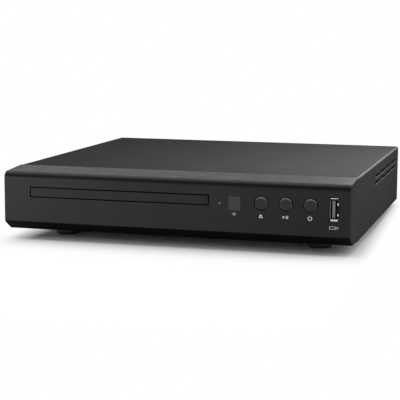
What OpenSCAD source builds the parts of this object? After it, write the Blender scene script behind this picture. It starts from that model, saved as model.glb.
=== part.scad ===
// Compact disc player with a motor-driven tray, built as it comes apart on a bench.
// Millimetres. +X to the right seen from the front, +Y to the back, +Z up.
// The origin is under the middle of the player, on the surface that it stands on.

/* [Case] */
// Width over the side walls
case_w = 240; // [236:1:300]
// Depth from the front face to the rear face
case_d = 240; // [238:1:300]
// Height from the underside of the chassis to the top of the cover
case_h = 43.2; // [42:0.2:60]
// Thickness of the steel sheets
sheet_t = 0.8; // [0.6:0.1:1]
// Outside radius of the cover's bends
cover_bend = 1.5; // [1.2:0.1:3]
// Depth of the lip that folds down behind the rear panel
cover_lip_h = 9; // [7:0.5:12]

/* [Feet] */
// Height of a foot under the chassis
foot_h = 5.2; // [4:0.2:10]
// Radius of a foot
foot_r = 8.5; // [7:0.5:11]
// Distance from the front face to the front feet
foot_front_y = 35; // [32:1:50]
// Distance from the rear face to the rear feet
foot_rear_y = 24; // [18:1:40]
// Distance from the left side to the left feet
foot_left = 33; // [24:0.2:44]
// Distance from the right side to the right feet
foot_right = 26; // [20:0.2:34]

/* [Side vents] */
// Length of one side vent
vent_len = 25.6; // [12:0.2:26]
// Height of one side vent
vent_h = 2.4; // [1:0.1:2.6]
// Vents in a row
vent_count = 4; // [1:1:4]
// Distance between the starts of two vents in a row
vent_pitch = 29.4; // [28:0.2:32]
// Height between the two rows
vent_row_pitch = 4.8; // [3.5:0.1:8]
// Distance from the cover's top down to the upper row
vent_drop = 9.4; // [6:0.1:14]
// Distance from the rear face to the rear end of the rows
vent_rear_gap = 16.6; // [10:0.2:22]

/* [Front panel] */
// Depth of the front panel
bezel_d = 28; // [26:0.5:32]
// Wall of the front panel
bezel_wall = 2.2; // [1.6:0.1:2.6]
// Radius where the face meets the top band
bezel_round = 4.6; // [1.5:0.1:5]
// How far the top band falls towards the face
band_fall = 1.6; // [0.5:0.1:2.5]
// Height of the bevel under the face
bevel_h = 6.1; // [3:0.1:8]
// Depth of the bevel under the face
bevel_d = 10; // [5:0.5:14]
// Depth of the ledge that carries the cover's front edge
bezel_lip = 4.5; // [3:0.5:6]

/* [Tray] */
// Radius of the disc that the tray takes
disc_r = 60; // [60:0.1:60.4]
// Gap round the disc in its recess
disc_gap = 0.8; // [0.5:0.1:1]
// Thickness of the tray's wall beside the disc
tray_wall = 1.7; // [1.5:0.1:2]
// Height of the tray's aperture in the face
slot_h = 7.5; // [7.3:0.1:8.5]
// Gap round the tray's front
slot_gap = 0.9; // [0.3:0.1:1]
// Distance from the left side of the case to the aperture
slot_margin = 18.7; // [17:0.1:22]
// Height of the aperture's middle above the chassis floor
slot_rise = 27.3; // [27:0.1:28]
// Distance from the face to the middle of the disc when shut
disc_y = 68; // [67:0.5:70]
// Thickness of the tray's front
fascia_t = 2.4; // [1.8:0.1:3]
// Travel of the tray
tray_travel = 130; // [100:1:132]

/* [Front controls] */
// Radius of a button's cap
button_r = 4.1; // [3.5:0.1:5]
// Gap round a button
button_gap = 0.8; // [0.3:0.05:0.9]
// How far a button stands out of the face
button_proud = 1; // [0.4:0.1:1.6]
// Travel of a button
button_travel = 0.5; // [0.3:0.05:0.8]
// Distance between two buttons
button_pitch = 16.35; // [14.5:0.05:17.5]
// Distance from the right side to the last button
button_margin = 26; // [25:0.1:28]
// Height of the buttons above the chassis floor
button_rise = 26.7; // [24:0.1:29]
// Width of the remote control's window
window_w = 8.2; // [6:0.1:10]
// Height of the remote control's window
window_h = 9.3; // [7:0.1:11]
// Distance from the right side to the window
window_margin = 76.8; // [74:0.1:78]
// Radius of the indicator
led_r = 1.1; // [0.6:0.1:1.3]
// Distance from the right side to the indicator
led_margin = 86.8; // [86:0.1:87.5]
// Distance from the right side to the data socket
usb_margin = 10.7; // [10:0.1:12]
// Height of the data socket above the chassis floor
usb_rise = 24.6; // [23:0.1:26]

/* [Rear sockets] */
// Radius of a round socket's outer sleeve
jack_r = 4.15; // [4:0.05:4.3]
// How far a round socket stands out of the rear panel
jack_out = 8.5; // [6:0.5:10]
// Distance between two round sockets
jack_pitch = 14; // [13:0.5:15]
// Width of the mains inlet's cavity
inlet_w = 14.2; // [13.6:0.1:15]
// Height of the mains inlet's cavity
inlet_h = 7.8; // [7:0.1:8.6]
// Depth of the mains inlet's cavity
inlet_deep = 13; // [11:0.5:14]

/* [Disc mechanism] */
// Angle through which the drive unit lifts
lift_angle = 3; // [2:0.1:3.2]
// Travel of the lifting cam
cam_travel = 20; // [16:1:22]
// Travel of the optical pickup
pickup_travel = 34; // [20:1:34]
// Tooth module of the tray's gears
gear_m = 1; // [1:0.01:1.02]
// Teeth of the small gears
pinion_teeth = 14; // [14:1:14]
// Teeth of the large gear
wheel_teeth = 28; // [26:1:28]
// Radius of the belt's run on the large pulley
pulley_r = 12.4; // [10:0.1:12.6]
// Radius of the belt's run on the motor pulley
motor_pulley_r = 2.6; // [2:0.1:3.5]

/* [Hidden] */
$fn = 48;
eps = 0.01;            // overlap that joins two shapes of one piece
seat = 0.1;            // gap between two fixed pieces that seat on each other
slide_gap = 0.15;      // gap under a sliding piece

// Case levels and walls
floor_z = foot_h + sheet_t;
top_z = foot_h + case_h;
side_x = case_w / 2;
front_y = (button_proud - case_d + sheet_t + seat - jack_out) / 2;   // the face, with the overall box centred
rear_out = case_d - sheet_t - seat;                                  // outer face of the rear panel
rear_in = rear_out - sheet_t;
foot_x = [-side_x + foot_left, side_x - foot_right];
foot_y = [foot_front_y, case_d - foot_rear_y];
peg_r = 2.4;
screw_r = 1.5;
screw_head_r = 2.8;
cover_screw_x = [-0.42 * case_w, 0, 0.42 * case_w];
cover_screw_z = top_z - cover_lip_h / 2;

// Front panel
slot_w = 2 * (disc_r + disc_gap + tray_wall + 1.2);
slot_x = -side_x + slot_margin + slot_w / 2;
slot_z = floor_z + slot_rise;
button_x = [for (i = [2 : -1 : 0]) side_x - button_margin - i * button_pitch];
button_z = floor_z + button_rise;
window_x = side_x - window_margin;
window_z = floor_z + 25.85;
led_x = side_x - led_margin;
led_z = floor_z + 25.5;
usb_x = side_x - usb_margin;
usb_z = floor_z + usb_rise;
usb_w = 5.7;
usb_h = 13.1;
usb_wall = 0.3;
usb_lip = 1.1;         // how far the upper and lower lips of the data socket reach out
usb_side_lip = 0.5;    // the same for its side lips
bevel_round = 2;       // radius of the two edges of the bevel under the face
board_y = 18;          // front face of the front board
board_t = 1.6;
front_board_w = 87;
front_board_z = floor_z + 11;
front_board_h = top_z - band_fall - bezel_wall - 2 * seat - front_board_z;   // up to the band's inner face
front_boss_r = 2.6;
front_boss_x = [side_x - 88.5, side_x - 19, side_x - 51.5];
front_boss_z = [front_board_z + 3.5, front_board_z + 3.5, front_board_z + 3.5];
button_hole_r = button_r + button_gap;
switch_h = 3.4;
plunger_h = 1.5;
stem_end = board_y - switch_h - plunger_h - button_travel;

// Tray, measured from the middle of its aperture
recess_r = disc_r + disc_gap;
tray_w = 2 * (recess_r + tray_wall);
tray_low = slot_z - 3.2;
tray_top = slot_z + 2.7;
tray_floor = tray_low + 2;
small_seat = tray_floor + 1.1;
disc_seat = small_seat + 0.7;
tray_back = 150;       // rear edge of the tray's plate
rail_back = 190;       // rear end of the tray's side rails
rail_w = 2;
throat_r = 22;         // half the width of the cut-out for the drive unit

// Loader frame
deck_z = floor_z + 2;
deck_t = 1.6;
deck_top = deck_z + deck_t;
loader_front = 30;
loader_back = 196;
wall_in = tray_w / 2 + 0.5;
wall_out = wall_in + 3.5;
wall_top = tray_top + 2.6;
lug_y = [41, 185];
lug_x = wall_out + 3.4;
axle_r = 1.5;
bore_gap = 0.06;

// Tray drive
pitch_r = gear_m * pinion_teeth / 2;
wheel_r = gear_m * wheel_teeth / 2;
addendum = 0.8 * gear_m;
dedendum = 1.05 * gear_m;
backlash = 0.16;
rack_x = -39;                              // pitch line of the rack
drive_x = rack_x - pitch_r;
drive_y = 46;
wheel_y = drive_y + pitch_r + wheel_r;     // the belt wheel, straight behind the drive gear
motor_x = drive_x - 2;
motor_y = wheel_y + 33;
motor_r = 12.2;
drive_z = tray_low - 4.1;                  // underside of the large gear
belt_z = tray_low - 8.3;                   // underside of the belt's run
belt_t = 1.1;

// Drive unit, in its raised and level state
hinge_y = 172;
hinge_z = floor_z + 13.75;
hinge_r = 2;
unit_frame_z = hinge_z - 1.75;
unit_frame_t = 3.5;
unit_plate_z = unit_frame_z + 6;
unit_plate_t = 1.2;
plate_top = unit_plate_z + unit_plate_t;
unit_left = -31;
unit_right = 44;
unit_front = 42;
damper_x = [-24.5, 34.5];
damper_y = [50, 158];
rod_y_end = 154;
window_y = [disc_y + 14, 150.5];   // opening in the drive unit's plate for the pickup
feed_motor_y = [135, 149];
disc_up = disc_seat + 1.8;                 // where the turntable lifts the disc to
rod_x = 24;
rod_z = plate_top + 2.8;
rod_r = 1.5;
screw_x = 32;
pickup_y = disc_y + 24;                    // the lens, at the inner end of its travel
pin_x = 6;
pin_r = 1.5;
cam_y = 37;
cam_t = 2.2;
pin_low = hinge_z - (hinge_y - cam_y - cam_t / 2) * sin(lift_angle);
cam_rise = hinge_z - pin_low;

// Clamper
bridge_z = tray_top + 4.5;
bridge_t = 1;
bridge_hole_r = 13.4;

// Boards
board_z = floor_z + 6;
main_x = [slot_x + wall_out + 11.1, side_x - 6];   // between the loader and the right side
main_y = [case_d - 112, rear_in - 0.8];
power_x = [-side_x + 8, -side_x + 108];
power_y = [case_d - 37, rear_in - 0.8];
jack_x = side_x - 58;
jack_z = board_z + board_t + 7;
hdmi_x = side_x - 72;
inlet_x = -side_x + 25;
inlet_z = board_z + board_t + 7;
pin_pitch = 8.6;
pin_base_r = 1;        // the inlet's pins where they pass through its back wall

// Places everything measured from the front face
module from_front() {
  translate([0, front_y, 0]) children();
}

// Places what is measured from the middle of the tray
module in_loader() {
  from_front() translate([slot_x, 0, 0]) children();
}

// Tips the drive unit about its pins into its lowered rest state
module on_unit() {
  in_loader() translate([0, hinge_y, hinge_z]) rotate([lift_angle, 0, 0]) translate([0, -hinge_y, -hinge_z])
    children();
}

// A box given by its low and high corners
module span(low, high) {
  translate(low) cube([for (i = [0 : 2]) high[i] - low[i]]);
}

// A cylinder along Y from y0 to y1
module rod_y(r, x, z, y0, y1) {
  translate([x, y0, z]) rotate([-90, 0, 0]) cylinder(r = r, h = y1 - y0);
}

// A cylinder along X from x0 to x1
module rod_x_way(r, y, z, x0, x1) {
  translate([x0, y, z]) rotate([0, 90, 0]) cylinder(r = r, h = x1 - x0);
}

// A standing cylinder from z0 to z1
module post(r, x, y, z0, z1) {
  translate([x, y, z0]) cylinder(r = r, h = z1 - z0);
}

// A slot with round ends along Y, cut through a wall that stands at x
module slot_y(x0, x1, y0, y1, z, h) {
  span([x0, y0 + h / 2, z - h / 2], [x1, y1 - h / 2, z + h / 2]);
  for (y = [y0 + h / 2, y1 - h / 2]) rod_x_way(h / 2, y, z, x0, x1);
}

// Four places, at the ends of an x pair and a y pair
module corners(xs, ys) {
  for (x = xs, y = ys) translate([x, y, 0]) children();
}

// A round-headed screw pointing down, its head's underside at z = 0
module screw_down(len) {
  translate([0, 0, -len]) cylinder(r = screw_r - 0.45, h = len + eps);
  difference() {
    cylinder(r1 = screw_head_r, r2 = screw_head_r - 0.7, h = 1.6);
    translate([-0.4, -2, 0.9]) cube([0.8, 4, 1]);
    translate([-2, -0.4, 0.9]) cube([4, 0.8, 1]);
  }
}

// Sheet section of the cover, in X and Z, with bent corners
function bend(cx, cz, r, a0, a1) = [for (i = [0 : 4]) let (a = a0 + (a1 - a0) * i / 4) [cx + r * cos(a), cz + r * sin(a)]];
function cover_outline(inset, low) = concat(
  [[-side_x + inset, low], [side_x - inset, low]],
  bend(side_x - cover_bend, top_z - cover_bend, cover_bend - inset, 0, 90),
  bend(-side_x + cover_bend, top_z - cover_bend, cover_bend - inset, 90, 180));

module top_cover() {
  row_end = case_d - vent_rear_gap;
  color("#3b3b3d") from_front() difference() {
    union() {
      translate([0, case_d, 0]) rotate([90, 0, 0]) linear_extrude(case_d - bezel_d - seat) difference() {
        polygon(cover_outline(0, foot_h));
        polygon(cover_outline(sheet_t, foot_h - 1));
      }
      span([-side_x + cover_bend, case_d - sheet_t, top_z - cover_lip_h], [side_x - cover_bend, case_d, top_z - sheet_t / 2]);
    }
    for (x = cover_screw_x) rod_y(screw_r, x, cover_screw_z, case_d - 2, case_d + 1);
    for (side = [-1, 1], row = [0, 1], i = [0 : vent_count - 1]) {
      end = row_end - i * vent_pitch;
      x = side * (side_x - sheet_t / 2);
      slot_y(x - 1, x + 1, end - vent_len, end, top_z - vent_drop - row * vent_row_pitch, vent_h);
    }
  }
}

module chassis_pan() {
  wall_x = side_x - sheet_t - seat;
  color("#4a4b4d") from_front() difference() {
    union() {
      span([-wall_x, bezel_d - 4, foot_h], [wall_x, rear_in, floor_z]);
      for (s = [-1, 1])
        span([min(s * wall_x, s * (wall_x - sheet_t)), bezel_d + 8, floor_z - eps],
          [max(s * wall_x, s * (wall_x - sheet_t)), rear_in, floor_z + 10]);
      corners([slot_x - lug_x, slot_x + lug_x], lug_y) translate([0, 0, floor_z - eps]) cylinder(r = 3.2, h = deck_z - floor_z + eps);
      for (b = [[main_x, main_y], [power_x, power_y]])
        corners(b[0] + [4, -4], b[1] + [4, -14]) translate([0, 0, floor_z - eps]) cylinder(r = 3, h = board_z - floor_z + eps);
    }
    corners([slot_x - lug_x, slot_x + lug_x], lug_y) translate([0, 0, foot_h - 1]) cylinder(r = 1.1, h = 9);
    for (b = [[main_x, main_y], [power_x, power_y]])
      corners(b[0] + [4, -4], b[1] + [4, -14]) translate([0, 0, foot_h - 1]) cylinder(r = 1.1, h = 12);
    corners(foot_x, foot_y) translate([0, 0, foot_h - 1]) cylinder(r = peg_r + seat, h = 4);
    for (i = [0 : 9]) span([side_x - 72 + 6 * i, 60, foot_h - 1], [side_x - 70 + 6 * i, 100, floor_z + 1]);
  }
}

module rear_panel() {
  wall_x = side_x - sheet_t - seat;
  color("#3d3d3f") from_front() difference() {
    union() {
      span([-wall_x, rear_in, foot_h], [wall_x, rear_out, top_z - sheet_t - cover_bend]);
      span([-wall_x + cover_bend, rear_in, foot_h], [wall_x - cover_bend, rear_out, top_z - sheet_t - seat]);
    }
    for (i = [0 : 3]) rod_y(jack_r + 0.6, jack_x + i * jack_pitch, jack_z, rear_in - 1, rear_out + 1);
    span([hdmi_x - 7.8, rear_in - 1, board_z + board_t - 0.4], [hdmi_x + 7.8, rear_out + 1, board_z + board_t + 6.3]);
    span([inlet_x - 10.3, rear_in - 1, inlet_z - 7.3], [inlet_x + 10.3, rear_out + 1, inlet_z + 6.8]);
    for (x = cover_screw_x) rod_y(1.1, x, cover_screw_z, rear_in - 1, rear_out + 1);
    for (i = [0 : 11]) span([-30 + 6 * i, rear_in - 1, floor_z + 8], [-27.6 + 6 * i, rear_out + 1, floor_z + 26]);
  }
}

module cover_screws() {
  color("#2a2a2b") from_front() for (x = cover_screw_x)
    translate([x, case_d + eps, cover_screw_z]) rotate([-90, 0, 0]) screw_down(5);
}

// Points of an arc of radius r that rounds the corner b between a and c
function rounded(a, b, c, r, n = 5) = let (
    u = (a - b) / norm(a - b),
    v = (c - b) / norm(c - b),
    half = acos(u * v) / 2,
    middle = b + (u + v) / norm(u + v) * r / sin(half),
    from = b + u * r / tan(half) - middle,
    to = b + v * r / tan(half) - middle,
    start = atan2(from[1], from[0]),
    turn = (atan2(to[1], to[0]) - start + 540) % 360 - 180)
  [for (i = [0 : n]) middle + r * [cos(start + turn * i / n), sin(start + turn * i / n)]];

// Side outline of the front panel, in Y and Z, drawn inwards by t
function bezel_outline(t) = let (
    r = bezel_round,
    face_top = top_z - band_fall - r,
    slope = atan2(band_fall, bezel_d - r),
    low = floor_z + t,
    bevel_a = atan2(bevel_h, bevel_d),
    bevel_shift = t * tan((90 - bevel_a) / 2),
    bevel_back = [bevel_d + t * tan(bevel_a / 2), low],
    bevel_front = [t, floor_z + bevel_h + bevel_shift])
  concat(
    [[bezel_d, low]],
    rounded([bezel_d, low], bevel_back, bevel_front, bevel_round),
    rounded(bevel_back, bevel_front, [t, face_top], bevel_round),
    [for (i = [0 : 10]) let (a = 180 - (90 - slope) * i / 10) [r + max(r - t, 0.3) * cos(a), face_top + max(r - t, 0.3) * sin(a)]],
    [[bezel_d, top_z - t]]);

module bezel_shell() {
  rotate([90, 0, 90]) difference() {
    translate([0, 0, -side_x]) linear_extrude(case_w) polygon(bezel_outline(0));
    translate([0, 0, -side_x + bezel_wall]) linear_extrude(case_w - 2 * bezel_wall) {
      polygon(bezel_outline(bezel_wall));
      translate([bezel_d - 1, floor_z + bezel_wall]) square([2, case_h - sheet_t - 2 * bezel_wall]);
    }
  }
}

// Ledges behind the front panel, under the cover's top and sides
module bezel_ledges() {
  gap = sheet_t + 2 * seat;
  y0 = bezel_d - bezel_wall;
  span([-side_x + 8, y0, top_z - bezel_wall - gap], [side_x - 8, bezel_d + bezel_lip, top_z - gap]);
  span([-side_x + 8, y0, top_z - bezel_wall - gap], [side_x - 8, bezel_d, top_z - bezel_wall + eps]);
  for (s = [-1, 1]) {
    x0 = s * (side_x - gap);
    x1 = s * (side_x - gap - bezel_wall);
    span([min(x0, x1), y0, floor_z + 12], [max(x0, x1), bezel_d + bezel_lip, top_z - 8]);
    x2 = s * (side_x - bezel_wall + eps);
    span([min(x1, x2), y0, floor_z + 12], [max(x1, x2), bezel_d, top_z - 8]);
  }
}

module front_panel() {
  color("#2f2f31") from_front() difference() {
    union() {
      bezel_shell();
      bezel_ledges();
      for (i = [0 : 2]) rod_y(front_boss_r, front_boss_x[i], front_boss_z[i], bezel_wall - eps, board_y);
      for (x = button_x) difference() {
        rod_y(button_hole_r + 3.4, x, button_z, bezel_wall - eps, bezel_wall + 3.2);
        rod_y(button_hole_r + 2.1, x, button_z, bezel_wall, bezel_wall + 4);
      }
    }
    span([slot_x - slot_w / 2, -1, slot_z - slot_h / 2], [slot_x + slot_w / 2, bezel_wall + 1, slot_z + slot_h / 2]);
    for (x = button_x) rod_y(button_hole_r, x, button_z, -1, bezel_wall + 1);
    span([window_x - window_w / 2, -1, window_z - window_h / 2], [window_x + window_w / 2, bezel_wall + 1, window_z + window_h / 2]);
    rod_y(led_r, led_x, led_z, -1, bezel_wall + 1);
    span([usb_x - usb_w / 2 - usb_side_lip - seat, -1, usb_z - usb_h / 2 - usb_lip - seat],
      [usb_x + usb_w / 2 + usb_side_lip + seat, bezel_wall + 1, usb_z + usb_h / 2 + usb_lip + seat]);
    for (i = [0 : 2]) rod_y(1.1, front_boss_x[i], front_boss_z[i], 4, board_y + 1);
  }
}

module foot(x, y) {
  color("#161616") from_front() translate([foot_x[x], foot_y[y], 0]) difference() {
    union() {
      cylinder(r1 = foot_r - 0.8, r2 = foot_r, h = foot_h * 0.35);
      translate([0, 0, foot_h * 0.35]) cylinder(r = foot_r, h = foot_h * 0.65);
      cylinder(r = peg_r, h = floor_z + 1.6);
    }
    translate([0, 0, -1]) cylinder(r = 2.9, h = 2);
  }
}

module foot_front_left() { foot(0, 0); }
module foot_front_right() { foot(1, 0); }
module foot_rear_left() { foot(0, 1); }
module foot_rear_right() { foot(1, 1); }

module ir_window() {
  w = window_w - 2 * seat;
  h = window_h - 2 * seat;
  color("#3c3c40") from_front() union() {
    span([window_x - w / 2, 0.1, window_z - h / 2], [window_x + w / 2, bezel_wall + seat + eps, window_z + h / 2]);
    span([window_x - w / 2 - 1, bezel_wall + seat, window_z - h / 2 - 1], [window_x + w / 2 + 1, bezel_wall + 1.2, window_z + h / 2 + 1]);
  }
}

module indicator_led() {
  color("#d8342a") from_front() union() {
    translate([led_x, 0.9, led_z]) sphere(r = led_r - seat);
    rod_y(led_r - seat, led_x, led_z, 0.9, bezel_wall + 0.4);
    rod_y(1.5, led_x, led_z, bezel_wall + 0.3, board_y - 6);
    rod_y(1.9, led_x, led_z, board_y - 6 - eps, board_y);
  }
}

module usb_shell() {
  rear = board_y;
  color("#b9bbbd") from_front() translate([usb_x, 0, usb_z]) union() {
    difference() {
      span([-usb_w / 2, 0.9, -usb_h / 2], [usb_w / 2, rear, usb_h / 2]);
      span([-usb_w / 2 + usb_wall, 0, -usb_h / 2 + usb_wall], [usb_w / 2 - usb_wall, rear - 1, usb_h / 2 - usb_wall]);
    }
    for (s = [-1, 1]) {
      translate([0, 1, s * (usb_h / 2 - usb_wall / 2)]) rotate([-s * 45, 0, 0])
        span([-usb_w / 2 + 0.5, 0.2 - usb_lip * sqrt(2), -usb_wall / 2], [usb_w / 2 - 0.5, 0.15, usb_wall / 2]);
      translate([s * (usb_w / 2 - usb_wall / 2), 1, 0]) rotate([0, 0, s * 45])
        span([-usb_wall / 2, 0.15 - usb_side_lip * sqrt(2), -usb_h / 2 + 1], [usb_wall / 2, 0.15, usb_h / 2 - 1]);
      span([usb_w / 2 - usb_wall - 0.6, 0.95, s * 3.5 - 0.7], [usb_w / 2 - usb_wall + 0.05, 6, s * 3.5 + 0.7]);
    }
  }
}

module usb_tongue() {
  color("#8d9092") from_front() translate([usb_x, 0, usb_z]) union() {
    span([-1.55, 2.2, -5.6], [0.2, board_y - 1.2, 5.6]);
    span([-usb_w / 2 + usb_wall + seat, board_y - 3.2, -usb_h / 2 + usb_wall + seat], [usb_w / 2 - usb_wall - seat, board_y - 1.1, usb_h / 2 - usb_wall - seat]);
  }
}

module front_board() {
  color("#1f5a35") from_front() difference() {
    span([side_x - 4 - front_board_w, board_y, front_board_z], [side_x - 4, board_y + board_t, front_board_z + front_board_h]);
    for (i = [0 : 2]) rod_y(1.3, front_boss_x[i], front_boss_z[i], board_y - 1, board_y + 3);
  }
}

module button_switches() {
  color("#9a9c9e") from_front() for (x = button_x) translate([x, 0, button_z]) union() {
    span([-3, board_y - switch_h, -3], [3, board_y, 3]);
    rod_y(1.7, 0, 0, board_y - switch_h - plunger_h, board_y - switch_h + eps);
  }
}

module ir_receiver() {
  color("#202024") from_front() translate([window_x, 0, window_z]) union() {
    span([-2.7, bezel_wall + 4.5, -3.4], [2.7, board_y, 3.4]);
    translate([0, bezel_wall + 4.6, 0]) sphere(r = 2.2);
  }
}

// A cap with a rounded rim, a flange behind the wall and a stem to its switch
module button(i) {
  rim = 0.7;
  color("#343436") from_front() translate([button_x[i], 0, button_z]) rotate([-90, 0, 0]) union() {
    rotate_extrude() polygon(concat(
      [[0, bezel_wall + 1], [0, -button_proud]],
      [for (k = [0 : 4]) [button_r - rim + rim * sin(k * 22.5), -button_proud + rim - rim * cos(k * 22.5)]],
      [[button_r, bezel_wall + 1]]));
    translate([0, 0, bezel_wall + 0.3]) cylinder(r = button_r + 1.6, h = 1.2);
    translate([0, 0, bezel_wall + 1.4]) cylinder(r = 2, h = stem_end - bezel_wall - 1.4);
  }
}

module eject_button() { button(0); }
module play_button() { button(1); }
module power_button() { button(2); }

module tray_fascia() {
  w = slot_w - 2 * slot_gap;
  h = slot_h - 2 * slot_gap;
  color("#2f2f31") in_loader() union() {
    span([-w / 2, 0, slot_z - h / 2], [w / 2, fascia_t, slot_z + h / 2]);
    for (s = [-1, 1]) span([s * 40 - 5, fascia_t - eps, tray_top - 3.2], [s * 40 + 5, fascia_t + 1.4, tray_top - 1.6]);
  }
}

// Half of a tooth's angle at radius r, on an involute of pressure angle 20
function base_r(n) = gear_m * n / 2 * cos(20);
function inv_at(r, n) = let (c = min(1, base_r(n) / r), a = acos(c)) tan(a) * 180 / PI - a;
function half_tooth(r, n) = 90 / n - backlash / 2 / (gear_m * n / 2) * 90 / PI + inv_at(gear_m * n / 2, n) - inv_at(max(r, base_r(n)), n);
function gear_points(n) = let (
    root = gear_m * n / 2 - dedendum,
    tip = gear_m * n / 2 + addendum,
    start = max(root, base_r(n)),
    rs = concat([root], [for (k = [0 : 3]) start + 0.01 + (tip - start - 0.01) * k / 3]))
  [for (t = [0 : n - 1], side = [-1, 1], k = [0 : 4])
    let (j = side < 0 ? k : 4 - k, r = rs[j], a = t * 360 / n + side * half_tooth(r, n)) [r * cos(a), r * sin(a)]];

module gear(n, z0, z1, turn) {
  translate([0, 0, z0]) rotate([0, 0, turn]) linear_extrude(z1 - z0) polygon(gear_points(n));
}

// The rack's teeth face -X. A tooth's middle lies beside the drive gear's gap.
function rack_tooth(y) = let (
    half = PI * gear_m / 4 - backlash / 4,
    lean = tan(20))
  [[rack_x + dedendum, y - half - dedendum * lean], [rack_x - addendum, y - half + addendum * lean],
   [rack_x - addendum, y + half - addendum * lean], [rack_x + dedendum, y + half + dedendum * lean]];

module rack() {
  pitch = PI * gear_m;
  first = drive_y - pitch / 2 - pitch;
  count = floor((rail_back - 2 - first) / pitch);
  for (i = [0 : count - 1]) translate([0, 0, tray_low]) linear_extrude(tray_floor - tray_low + eps)
    polygon(rack_tooth(first + i * pitch));
  span([rack_x + dedendum - eps, first - 3, tray_low], [rack_x + dedendum + 2, rail_back - 1, tray_floor + eps]);
}

module disc_tray() {
  half = tray_w / 2;
  front = fascia_t + seat;
  color("#262628") in_loader() union() {
    difference() {
      union() {
        span([-half, front, tray_floor], [half, tray_back, tray_top]);
        for (s = [-1, 1]) span([min(s * half, s * (half - rail_w)), front, tray_low], [max(s * half, s * (half - rail_w)), rail_back, tray_floor + eps]);
        for (s = [-1, 1]) span([min(s * half, s * (half - 4)), tray_back - eps, tray_floor], [max(s * half, s * (half - 4)), rail_back, tray_top]);
        span([-half, front, tray_low], [half, front + 2, tray_floor + eps]);
        span([rack_x, tray_back - eps, tray_floor], [rack_x + 9, rail_back - 1, tray_top]);
      }
      post(recess_r, 0, disc_y, disc_seat, tray_top + 1);
      post(41, 0, disc_y, small_seat, tray_top + 1);
      post(throat_r, 0, disc_y + 2, tray_low - 1, tray_top + 1);
      span([-throat_r, disc_y + 2, tray_low - 1], [throat_r, rail_back + 1, tray_top + 1]);
      for (s = [-1, 1]) post(11, s * half, disc_y, disc_seat - 0.5, tray_top + 1);
      for (s = [-1, 1]) span([s * 40 - 5.4, front - 1, tray_top - 3.6], [s * 40 + 5.4, front + 2, tray_top - 1.2]);
    }
    rack();
  }
}

module loader_frame() {
  guide_top = tray_low - slide_gap;
  lip_low = tray_top + 0.3;
  color("#1d1d1f") in_loader() difference() {
    union() {
      span([-wall_out, loader_front, deck_z], [wall_out, loader_back, deck_top]);
      for (s = [-1, 1]) {
        span([min(s * wall_in, s * wall_out), loader_front, deck_top - eps], [max(s * wall_in, s * wall_out), loader_back, wall_top]);
        span([min(s * (wall_in - 4), s * (wall_in + eps)), loader_front, guide_top - 1.3], [max(s * (wall_in - 4), s * (wall_in + eps)), loader_back, guide_top]);
        span([min(s * (wall_in - 1.7), s * (wall_in + eps)), loader_front, lip_low], [max(s * (wall_in - 1.7), s * (wall_in + eps)), loader_back, lip_low + 1.4]);
      }
      span([-wall_in - eps, loader_front, tray_top + 1.1], [wall_in + eps, loader_front + 5, wall_top]);
      span([-wall_in - eps, loader_back - 3, deck_top - eps], [wall_in + eps, loader_back, wall_top]);
      corners([-lug_x, lug_x], lug_y) translate([0, 0, deck_z]) cylinder(r = 4.2, h = deck_t);
      for (x = [-1, 1], y = lug_y) span([min(x * lug_x, x * wall_in), y - 4.2, deck_z], [max(x * lug_x, x * wall_in), y + 4.2, deck_top]);
      post(3, drive_x, drive_y, deck_top - eps, drive_z - 0.5);
      post(axle_r, drive_x, drive_y, drive_z - 1, tray_floor - 0.5);
      post(3, drive_x, wheel_y, deck_top - eps, belt_z - 0.8);
      post(axle_r, drive_x, wheel_y, belt_z - 1, tray_low - 1.6);
      for (x = [unit_left - 5.5, unit_right + 1.5]) difference() {
        span([x, hinge_y - 6, deck_top - eps], [x + 4, hinge_y + 6, hinge_z + 5]);
        rod_x_way(hinge_r + 0.08, hinge_y, hinge_z, x - 1, x + 5);
      }
      span([unit_left + 5, cam_y - 6, deck_top - eps], [unit_right + 6, cam_y - 4.4, deck_top + 3.4]);
      span([unit_left + 5, cam_y - 6, deck_top + 2], [unit_right + 6, cam_y - 2.7, deck_top + 3.4]);
    }
    corners([-lug_x, lug_x], lug_y) translate([0, 0, deck_z - 1]) cylinder(r = 1.5, h = 4);
    for (s = [-1, 1]) post(1.1, s * (wall_out - 1.75), disc_y, wall_top - 8, wall_top + 1);
    span([unit_left + 8, 60, deck_z - 1], [unit_right - 8, 150, deck_top + 1]);
  }
}

module inner_screws() {
  color("#a9abad") from_front() {
    for (x = [-1, 1], y = lug_y) translate([slot_x + x * lug_x, y, deck_top + eps]) screw_down(5);
    for (b = [[main_x, main_y], [power_x, power_y]])
      corners(b[0] + [4, -4], b[1] + [4, -14]) translate([0, 0, board_z + board_t + eps]) screw_down(6);
    for (x = [-1, 1]) translate([slot_x + x * (wall_out - 1.75), disc_y, wall_top + bridge_t + eps]) scale(0.8) screw_down(6);
    for (i = [0 : 2]) translate([front_boss_x[i], board_y + board_t + eps, front_boss_z[i]]) rotate([-90, 0, 0]) scale(0.9) screw_down(6);
  }
}

module clamper_bridge() {
  half_d = 16;
  inner = wall_in - 2;
  color("#b4b6b8") in_loader() difference() {
    union() {
      span([-inner, disc_y - half_d, bridge_z], [inner, disc_y + half_d, bridge_z + bridge_t]);
      for (s = [-1, 1]) {
        span([min(s * inner, s * wall_out), disc_y - half_d, wall_top], [max(s * inner, s * wall_out), disc_y + half_d, wall_top + bridge_t]);
        span([min(s * inner, s * (inner - bridge_t)), disc_y - half_d, wall_top], [max(s * inner, s * (inner - bridge_t)), disc_y + half_d, bridge_z + bridge_t]);
      }
    }
    post(bridge_hole_r, 0, disc_y, bridge_z - 3, bridge_z + 3);
    for (s = [-1, 1]) post(1.4, s * (wall_out - 1.75), disc_y, wall_top - 1, wall_top + 3);
  }
}

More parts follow.
